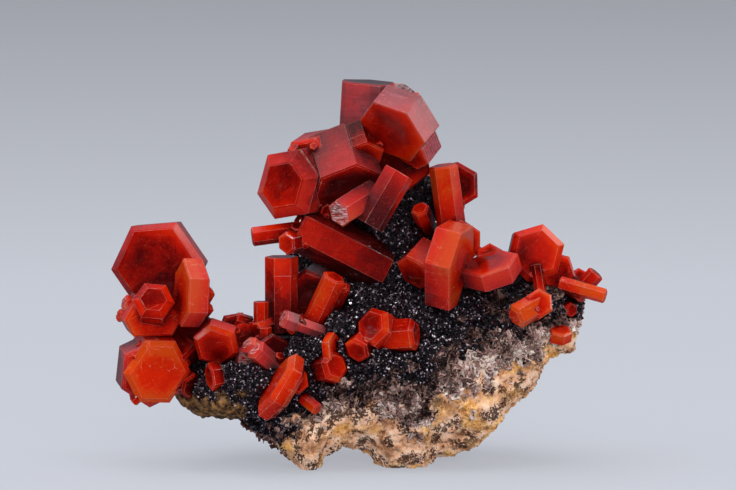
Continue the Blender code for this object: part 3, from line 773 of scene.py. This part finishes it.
def crystal_frame(crystal):
    """The matrix that stands a crystal in place, turned by its spin."""
    axis = Vector(crystal.axis).normalized()
    upright = Vector((0, -1, 0)) if abs(axis.z) > NEARLY_UPRIGHT else Vector((0, 0, 1))
    up = (upright - axis * upright.dot(axis)).normalized()
    turn = Matrix((up.cross(axis), up, axis)).transposed().to_4x4()
    middle = Vector(crystal.tip) * MM - axis * (crystal.length * MM / 2)
    return Matrix.Translation(middle) @ turn @ Matrix.Rotation(math.radians(crystal.spin), 4, "Z")


def lofted(name, rings):
    """A closed mesh through rings of equally many points, with a flat cap at each end."""
    count = len(rings[0])
    points = [point for ring in rings for point in ring]
    faces = [tuple(reversed(range(count)))]
    for level in range(len(rings) - 1):
        near = level * count
        for i in range(count):
            j = (i + 1) % count
            faces.append((near + i, near + j, near + count + j, near + count + i))
    faces.append(tuple(range(len(points) - count, len(points))))
    mesh = bpy.data.meshes.new(name)
    mesh.from_pydata(points, [], faces)
    return mesh


def add_object(name, mesh, finish=None):
    made = bpy.data.objects.new(name, mesh)
    bpy.context.scene.collection.objects.link(made)
    if finish:
        mesh.materials.append(finish)
    return made


def crystal_object(label, crystal, number):
    mesh = lofted(label, crystal_rings(crystal, random.Random(number)))
    mesh.transform(crystal_frame(crystal))
    owner = mesh.attributes.new("crystal", "INT", "FACE")
    owner.data.foreach_set("value", [number] * len(mesh.polygons))
    return add_object(label, mesh)


def settle(thing):
    """A new mesh, which is the object's own with its modifiers applied."""
    graph = bpy.context.evaluated_depsgraph_get()
    return bpy.data.meshes.new_from_object(thing.evaluated_get(graph))


def read_points(mesh, key="co"):
    """The place or the normal of each vertex, as rows of three."""
    values = np.zeros(len(mesh.vertices) * 3)
    mesh.vertices.foreach_get(key, values)
    return values.reshape(-1, 3)


def read_integers(items, key):
    values = np.zeros(len(items), dtype=np.int32)
    items.foreach_get(key, values)
    return values


def write_attribute(mesh, name, kind, domain, values):
    key = {"FLOAT": "value", "FLOAT_VECTOR": "vector", "FLOAT_COLOR": "color"}[kind]
    made = mesh.attributes.new(name, kind, domain)
    made.data.foreach_set(key, np.asarray(values, dtype=np.float32).ravel())


def write_growth(mesh, owners):
    """Each face corner's place in its crystal's own frame, in mm, and the crystal's looks."""
    owner = read_integers(mesh.attributes["crystal"].data, "value")
    corner_owner = np.repeat(owner, read_integers(mesh.polygons, "loop_total"))
    points = read_points(mesh)[read_integers(mesh.loops, "vertex_index")]
    growth, traits, ends = np.zeros((3, len(points), 3))
    for number, crystal in owners.items():
        mine = corner_owner == number
        back = np.array(crystal_frame(crystal).inverted())
        growth[mine] = (points[mine] @ back[:3, :3].T + back[:3, 3]) / MM
        half_width = crystal.across / 2 * math.cos(math.pi / PRISM_SIDES)
        traits[mine] = (half_width, crystal.glow, number * CHANCE_STEP % CHANCE_SPAN)
        ends[mine] = (0, crystal.frost, crystal.dull)
        ends[mine, 0] = growth[mine, 2] / (crystal.length / 2)
    for name, values in (("growth", growth), ("traits", traits), ("ends", ends)):
        write_attribute(mesh, name, "FLOAT_VECTOR", "CORNER", values)


def joined(parts):
    """One mesh of all the parts, which are then removed."""
    for other in parts[1:]:
        change = parts[0].modifiers.new(other.name, "BOOLEAN")
        change.operation = "UNION"
        change.solver = "MANIFOLD"
        change.object = other
    mesh = settle(parts[0])
    for part in parts:
        bpy.data.objects.remove(part)
    return mesh


def seam_crystals(mesh, wanted, chance):
    """Small crystals of a later growth, in the corners where two crystals meet."""
    form = bmesh.new()
    form.from_mesh(mesh)
    owner = form.faces.layers.int["crystal"]
    seams = []
    for edge in form.edges:
        if len(edge.link_faces) == 2 and not edge.is_convex:
            long = edge.calc_length() > SEAM_LENGTH * MM
            if long and edge.link_faces[0][owner] != edge.link_faces[1][owner]:
                seams.append(edge)
    found = {}
    for edge in chance.sample(seams, min(wanted, len(seams))):
        out = (edge.link_faces[0].normal + edge.link_faces[1].normal).normalized()
        lean = Vector([chance.uniform(-1, 1) for _ in range(3)])
        axis = (out + 0.6 * lean).normalized()
        across = chance.choice((0.6, 0.8, 1, 1.3, 1.7))
        place = edge.verts[0].co.lerp(edge.verts[1].co, chance.random())
        tip = place / MM + axis * across * chance.uniform(0.2, 0.6)
        length = across * chance.uniform(1, 1.6)
        spin = chance.uniform(0, 60)
        found["seam_%d" % len(found)] = Crystal(tuple(tip), tuple(axis), across, length, spin, 0.1)
    form.free()
    return found


def build_crystals(node, crystals, first, finish):
    """The crystals of one node, grown into each other, with their fine form."""
    parts = []
    for number, (label, crystal) in enumerate(crystals.items(), first):
        parts.append(crystal_object(label, crystal, number))
    mesh = joined(parts)
    small = seam_crystals(mesh, round(SEAM_CRYSTALS * (len(crystals) - 1)), random.Random(first))
    if small:
        parts = [add_object(node + "_main", mesh)]
        for number, (label, crystal) in enumerate(small.items(), first + SEAM_NUMBERS):
            parts.append(crystal_object(label, crystal, number))
        mesh = joined(parts)
    owners = dict(enumerate(crystals.values(), first))
    owners.update(enumerate(small.values(), first + SEAM_NUMBERS))
    write_growth(mesh, owners)
    mesh.materials.clear()
    piece = add_object(node + "_grown", mesh, finish)
    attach(piece, "root")
    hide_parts(node)


# The zones of the matrix as seen from the front, in mm: x and z along each border.
PALE_BORDER = [
    (-30, 0), (-12, 1.5), (-8.2, 4.5), (-5, 6.5), (-1.3, 7.2), (2.8, 8), (5.1, 6.4), (7.3, 4.6),
    (9.5, 8.2), (13, 9.8), (15.7, 11.4), (18.5, 12.6), (21.3, 13.4), (22.7, 15.5), (30, 17),
]
BLADED_BORDER = [
    (-30, 0), (-8.5, 4), (-6, 6.5), (-2.7, 10.4), (2, 10.2), (6, 10.8), (9.3, 12),
    (13, 15.8), (16, 17.8), (19, 19), (25, 18.5), (30, 19),
]
# The ochre starts at this x and is full after this width. There is also a patch of it, with its
# middle and its spread as x and z.
OCHRE_START = 11
OCHRE_WIDTH = 8
PATCH_MIDDLE = (9.8, 7.6)
PATCH_SPREAD = (1.6, 0.9)
BROWN_LIMITS = (-12.5, 9.3)  # the brown tip's highest x and z


def noise_at(points, size, seed=0):
    """Smooth noise at each point, where both are in mm."""
    shift = Vector((seed, seed * 1.7, seed * 2.3))
    return np.array([noise.noise(Vector(point) / size + shift) for point in points])


def share_below(points, border, blur, wander):
    """1 below a border, 0 above it, with a ragged line between."""
    xs, zs = zip(*border)
    depth = np.interp(points[:, 0], xs, zs) + wander - points[:, 2]
    return np.clip(depth / blur + 0.5, 0, 1)


def zones_at(points):
    """How pale, bladed and ochre the matrix is at each point, in mm."""
    wander = 3 * noise_at(points, 3, 4.1) + 2.4 * noise_at(points, 1.2, 8.3)
    wander += 1.6 * noise_at(points, 0.6, 5.9)
    pale = share_below(points, PALE_BORDER, 1, wander)
    bladed = share_below(points, BLADED_BORDER, 2, 1.3 * wander)
    stain = noise_at(points, 2.5, 6.2)
    right = np.clip((points[:, 0] - OCHRE_START) / OCHRE_WIDTH, 0, 1)
    away = (points[:, (0, 2)] - PATCH_MIDDLE) / PATCH_SPREAD
    patch = np.exp(-away[:, 0] ** 2 - away[:, 1] ** 2)
    ochre = np.clip(0.9 * right - 0.4 + 1.4 * patch + 2.2 * stain, 0, 1) * pale
    return np.stack([pale, bladed, ochre, np.ones(len(points))], axis=1)


def brown_at(points):
    """How far the brown stain of the left tip covers each point, in mm."""
    wander = 2 * noise_at(points, 2, 9.4)
    left = np.clip((BROWN_LIMITS[0] - points[:, 0] + wander) / 1.5, 0, 1)
    return left * np.clip((BROWN_LIMITS[1] - points[:, 2] + wander) / 0.8, 0, 1)


def relief_of(heights):
    """Each height's place from 0 for the lowest to 1 for the highest, without the extremes."""
    low, high = np.percentile(heights, (2, 98))
    return np.clip((heights - low) / (high - low), 0, 1)


def build_rock(finish):
    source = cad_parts["matrix"]
    rough = add_object("rough_matrix", source.data.copy())
    join = rough.modifiers.new("join", "WELD")
    join.merge_threshold = WELD_REACH
    grow = rough.modifiers.new("grow", "DISPLACE")
    grow.mid_level = 0
    grow.strength = ROCK_GROWTH
    even = rough.modifiers.new("even", "REMESH")
    even.mode = "VOXEL"
    even.voxel_size = ROCK_GRAIN
    mesh = settle(rough)
    bpy.data.objects.remove(rough)
    points = read_points(mesh) / MM
    normals = read_points(mesh, "normal")
    zones = zones_at(points)
    lumps = np.minimum(np.abs(noise_at(points, 1.6, 5)), 0.35)
    fine = 0.3 * noise_at(points, 1, 2) + 0.26 * noise_at(points, 0.5, 3)
    fine += (0.3 + 0.5 * zones[:, 0]) * (lumps - 0.15)
    height = 0.5 * noise_at(points, 3, 1) + fine - 0.25
    points += normals * height[:, None]
    points[:, 2] = np.maximum(points[:, 2], 0)
    mesh.vertices.foreach_set("co", (points * MM).ravel())
    write_attribute(mesh, "zones", "FLOAT_COLOR", "POINT", zones)
    write_attribute(mesh, "relief", "FLOAT", "POINT", relief_of(fine))
    write_attribute(mesh, "brown", "FLOAT", "POINT", brown_at(points))
    mesh.materials.clear()
    mesh.shade_smooth()
    rock = add_object("matrix_rock", mesh, finish)
    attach(rock, "root")
    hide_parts("matrix")
    return rock


OCTAHEDRON = (
    np.array([(1, 0, 0), (-1, 0, 0), (0, 1, 0), (0, -1, 0), (0, 0, 1), (0, 0, -1)], dtype=float),
    np.array([(0, 2, 4), (2, 1, 4), (1, 3, 4), (3, 0, 4),
              (2, 0, 5), (1, 2, 5), (3, 1, 5), (0, 3, 5)]),
)
TETRAHEDRON = (
    np.array([(1, 1, 1), (-1, -1, 1), (-1, 1, -1), (1, -1, -1)], dtype=float),
    np.array([(0, 1, 3), (0, 2, 1), (0, 3, 2), (1, 2, 3)]),
)
PLATE = (
    np.array([(x, y, z) for x in (-1, 1) for y in (-1, 1) for z in (-1, 1)], dtype=float),
    np.array([(0, 1, 3), (0, 3, 2), (4, 6, 7), (4, 7, 5), (0, 4, 5), (0, 5, 1),
              (2, 3, 7), (2, 7, 6), (0, 2, 6), (0, 6, 4), (1, 5, 7), (1, 7, 3)]),
)


def random_turns(chance, count):
    """Evenly spread random rotations."""
    q = chance.normal(size=(count, 4))
    w, x, y, z = (q / np.linalg.norm(q, axis=1, keepdims=True)).T
    rows = [
        [1 - 2 * (y * y + z * z), 2 * (x * y - z * w), 2 * (x * z + y * w)],
        [2 * (x * y + z * w), 1 - 2 * (x * x + z * z), 2 * (y * z - x * w)],
        [2 * (x * z - y * w), 2 * (y * z + x * w), 1 - 2 * (x * x + y * y)],
    ]
    return np.moveaxis(np.array(rows), 2, 0)


def scatter(name, rock, weight, count, shape, sizes, finish, seed, shade=None):
    """Small crystals set into the rock, where weight says how thickly they grow at each vertex.

    shade, at each vertex, makes half of their tone, and chance makes the other half.
    """
    chance = np.random.default_rng(seed)
    mesh = rock.data
    mesh.calc_loop_triangles()
    corners = np.zeros(len(mesh.loop_triangles) * 3, dtype=np.int32)
    mesh.loop_triangles.foreach_get("vertices", corners)
    corners = corners.reshape(-1, 3)
    points = read_points(mesh)
    a, b, c = points[corners[:, 0]], points[corners[:, 1]], points[corners[:, 2]]
    area = np.linalg.norm(np.cross(b - a, c - a), axis=1)
    share = area * weight[corners].mean(axis=1)
    chosen = chance.choice(len(corners), count, p=share / share.sum())
    u, v = chance.random((2, count, 1))
    flip = u + v > 1
    u, v = np.where(flip, 1 - u, u), np.where(flip, 1 - v, v)
    places = a[chosen] + u * (b - a)[chosen] + v * (c - a)[chosen]
    form, faces = shape
    size = chance.uniform(0.6, 1.4, (count, 1)) * np.array(sizes) * MM
    size = size * chance.uniform(0.7, 1.3, (count, 3))
    local = form[None] * size[:, None, :]
    turned = np.einsum("nij,nkj->nki", random_turns(chance, count), local) + places[:, None]
    turned[..., 2] = np.maximum(turned[..., 2], 0)
    made = bpy.data.meshes.new(name)
    triangles = (faces[None] + len(form) * np.arange(count)[:, None, None]).reshape(-1, 3)
    made.from_pydata(turned.reshape(-1, 3).tolist(), [], triangles.tolist())
    tone = chance.random(count)
    if shade is not None:
        tone = 0.5 * tone + 0.5 * shade[corners[chosen, 0]]
    write_attribute(made, "tone", "FLOAT", "POINT", np.repeat(tone, len(form)))
    zones = read_zones(rock)[corners[chosen, 0]]
    write_attribute(made, "zones", "FLOAT_COLOR", "POINT", np.repeat(zones, len(form), axis=0))
    write_attribute(made, "relief", "FLOAT", "POINT", np.full(count * len(form), CRUMB_RELIEF))
    piece = add_object(name, made, finish)
    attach(piece, "root")


def read_zones(rock):
    zones = np.zeros(len(rock.data.vertices) * 4, dtype=np.float32)
    rock.data.attributes["zones"].data.foreach_get("color", zones)
    return zones.reshape(-1, 4)


def dress_matrix(rock):
    pale, bladed, ochre, _ = read_zones(rock).T
    points = read_points(rock.data) / MM
    front = points[:, 1] < DRUSE_PARTING
    bare = 1 - brown_at(points)
    black = (1 - pale) * (1 - bladed) * bare
    druse = druse_material()
    for name, side, seed in (("black_druse_front", front, 11), ("black_druse_back", ~front, 12)):
        weight = black * side + 0.15 * bladed * (1 - pale) * side * bare
        scatter(name, rock, weight, DRUSE_COUNT, TETRAHEDRON, DRUSE_SIZES, druse, seed)
    depth = np.interp(points[:, 0], *zip(*BLADED_BORDER)) - points[:, 2]
    height = np.interp(points[:, 0], *zip(*PALE_BORDER)) - points[:, 2]
    light = np.clip(depth / np.maximum(depth - height, 1), 0, 1)
    light = light * np.clip(0.65 + (points[:, 0] - 5) / 30, 0, 1)
    light = np.clip(light + 1.2 * noise_at(points, 2.2, 3.7), 0, 1)
    weight = bladed * (1 - pale) ** 2 * bare
    blades = blade_material()
    scatter("grey_blades", rock, weight, BLADE_COUNT, PLATE, BLADE_SIZES, blades, 13, light)
    weight = (0.35 * pale + ochre) * bare
    crumbs = rock_material("matrix_crumbs", True)
    scatter("pale_grains", rock, weight, CRUMB_COUNT, OCTAHEDRON, CRUMB_SIZES, crumbs, 14)


def build_stage():
    """A round sweep of pale, blue-grey floor that rises all round and glows with painted light,
    brightest near the middle.
    """
    turns = [2 * math.pi * i / SWEEP_SIDES for i in range(SWEEP_SIDES)]
    points = []
    for step in range(SWEEP_RINGS):
        radius = SWEEP_START + SWEEP_REACH * (step / (SWEEP_RINGS - 1)) ** 1.5
        rise = SWEEP_RISE * max(0, radius - SWEEP_FLAT) ** 2
        points.extend((radius * math.cos(t), radius * math.sin(t), rise) for t in turns)
    faces = [tuple(range(SWEEP_SIDES))]
    for inner in range(0, len(points) - SWEEP_SIDES, SWEEP_SIDES):
        outer = inner + SWEEP_SIDES
        for i in range(SWEEP_SIDES):
            j = (i + 1) % SWEEP_SIDES
            faces.append((inner + i, outer + i, outer + j, inner + j))
    mesh = bpy.data.meshes.new("sweep")
    mesh.from_pydata(points, [], faces)
    mesh.shade_smooth()
    made, tree, shader = material_nodes("sweep")
    shader.inputs["Base Color"].default_value = (0.17, 0.178, 0.195, 1)
    shader.inputs["Emission Color"].default_value = (0.86, 0.9, 1, 1)
    place = add_node(tree, "NewGeometry", {}).outputs["Position"]
    away = add_node(tree, "VectorMath", {"operation": "LENGTH"}, place).outputs["Value"]
    # painted light: the floor glows, brightest in the middle and dimmer outwards, which also
    # lightens the shadow beneath
    feed(tree, shader.inputs["Emission Strength"], rescale(tree, away, 0.2, 0.85, 0.44, 0.14))
    shader.inputs["Roughness"].default_value = 0.9
    shader.inputs["Specular IOR Level"].default_value = 0
    sweep = add_object("sweep", mesh, made)
    sweep.visible_glossy = False


def add_light(name, place, size, power, colour=(1, 1, 1)):
    light = bpy.data.lights.new(name, "AREA")
    light.shape = "RECTANGLE"
    light.size, light.size_y = size
    light.energy = power
    light.color = colour
    made = bpy.data.objects.new(name, light)
    made.location = place
    made.rotation_euler = (Vector(LAMP_AIM) - Vector(place)).to_track_quat("-Z", "Y").to_euler()
    bpy.context.scene.collection.objects.link(made)
    return made


def light_scene():
    world = bpy.data.worlds.new("studio")
    world.use_nodes = True
    tree = world.node_tree
    background = tree.nodes["Background"]
    way = tree.nodes.new("ShaderNodeTexCoord").outputs["Generated"]
    parts = parts_of(tree, way)
    behind = rescale(tree, parts["Y"], -0.1, 0.6)
    raised = product(tree, rescale(tree, parts["Z"], 0.1, 0.5), behind)
    colour = blend(tree, behind, (0.012, 0.012, 0.016, 1), (0.13, 0.14, 0.17, 1))
    colour = blend(tree, raised, colour, (0.25, 0.24, 0.29, 1))
    feed(tree, background.inputs["Color"], colour)
    background.inputs["Strength"].default_value = 0.9
    bpy.context.scene.world = world
    overhead = add_light("overhead", (-0.1, -0.1, 0.7), (1, 0.8), 5.6)
    overhead.visible_glossy = False
    add_light("softbox", (-0.1, -0.05, 0.72), (0.9, 0.7), 0.45)
    left = add_light("left", (-0.6, 0, 0.22), (0.4, 0.5), 0.9)
    left.visible_glossy = False
    left.visible_transmission = False
    add_light("right", (0.6, 0.05, 0.3), (0.4, 0.5), 0.9)
    for number, place in enumerate(GLINT_LAMPS):
        add_light("glint_%d" % number, place, GLINT_SIZE, GLINT_POWER)
    fill = add_light("fill", (0.15, -0.75, 0.25), (0.5, 0.4), 3.7, (1, 0.96, 0.91))
    fill.visible_glossy = False
    fill.visible_transmission = False


def add_camera():
    camera = bpy.data.cameras.new("camera")
    camera.lens = LENS
    camera.sensor_width = SENSOR
    made = bpy.data.objects.new("camera", camera)
    rise = math.radians(CAMERA_RISE)
    aim = Vector(CAMERA_AIM)
    made.location = aim + CAMERA_DISTANCE * Vector((0, -math.cos(rise), math.sin(rise)))
    made.rotation_euler = (math.pi / 2 - rise, 0, 0)
    bpy.context.scene.collection.objects.link(made)
    bpy.context.scene.camera = made


bpy.context.scene.view_settings.view_transform = "Standard"
add_camera()
light_scene()
build_stage()
red = crystal_material()
first_number = 1
for node_name, cluster in CLUSTERS.items():
    crystals = {}
    for label, row in cluster.items():
        crystals[label] = Crystal(*row, sides=SIDES.get(label, EVEN_SIDES))
    build_crystals(node_name, crystals, first_number, red)
    first_number += len(cluster)
dress_matrix(build_rock(rock_material("matrix_rock", False)))
